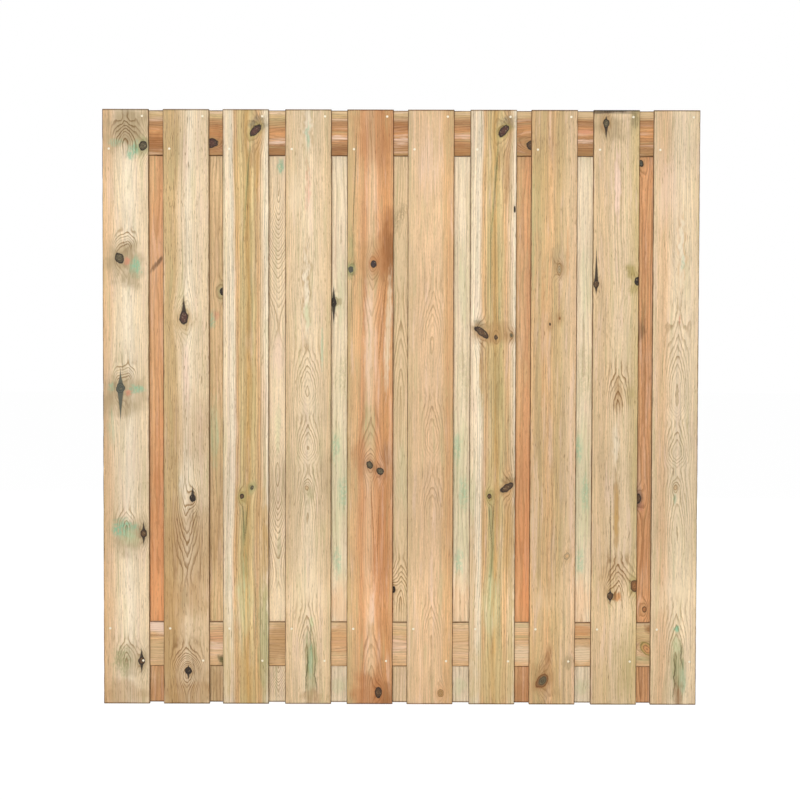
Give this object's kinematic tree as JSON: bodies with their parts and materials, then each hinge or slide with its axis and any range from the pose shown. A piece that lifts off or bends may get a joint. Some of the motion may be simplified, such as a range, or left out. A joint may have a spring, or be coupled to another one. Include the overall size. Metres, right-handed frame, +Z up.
{
  "type": "wooden fence panel",
  "caption": "Square garden fence panel of upright planed pine boards nailed to both faces of flat cross rails, the rear boards closing the gaps between the front boards.",
  "frame": {"origin": "middle of the panel's foot: half its width, half its depth, at the lower ends of the boards", "axes": "+Z up, +X along the panel to the right seen from the front, the front faces -Y"},
  "size_m": [1.8, 0.045, 1.8],
  "materials": {
    "board_wood": "planed, unpainted",
    "rail_wood": "planed, unpainted",
    "nail_steel": "dull"
  },
  "bodies": {
    "root": {"front_board_01": "board_wood", "front_board_02": "board_wood", "front_board_03": "board_wood", "front_board_04": "board_wood", "front_board_05": "board_wood", "front_board_06": "board_wood", "front_board_07": "board_wood", "front_board_08": "board_wood", "front_board_09": "board_wood", "front_board_10": "board_wood", "rear_board_01": "board_wood", "rear_board_02": "board_wood", "rear_board_03": "board_wood", "rear_board_04": "board_wood", "rear_board_05": "board_wood", "rear_board_06": "board_wood", "rear_board_07": "board_wood", "rear_board_08": "board_wood", "rear_board_09": "board_wood", "top_rail": "rail_wood", "bottom_rail": "rail_wood", "front_nails": "nail_steel", "rear_nails": "nail_steel"}
  },
  "joints": []
}
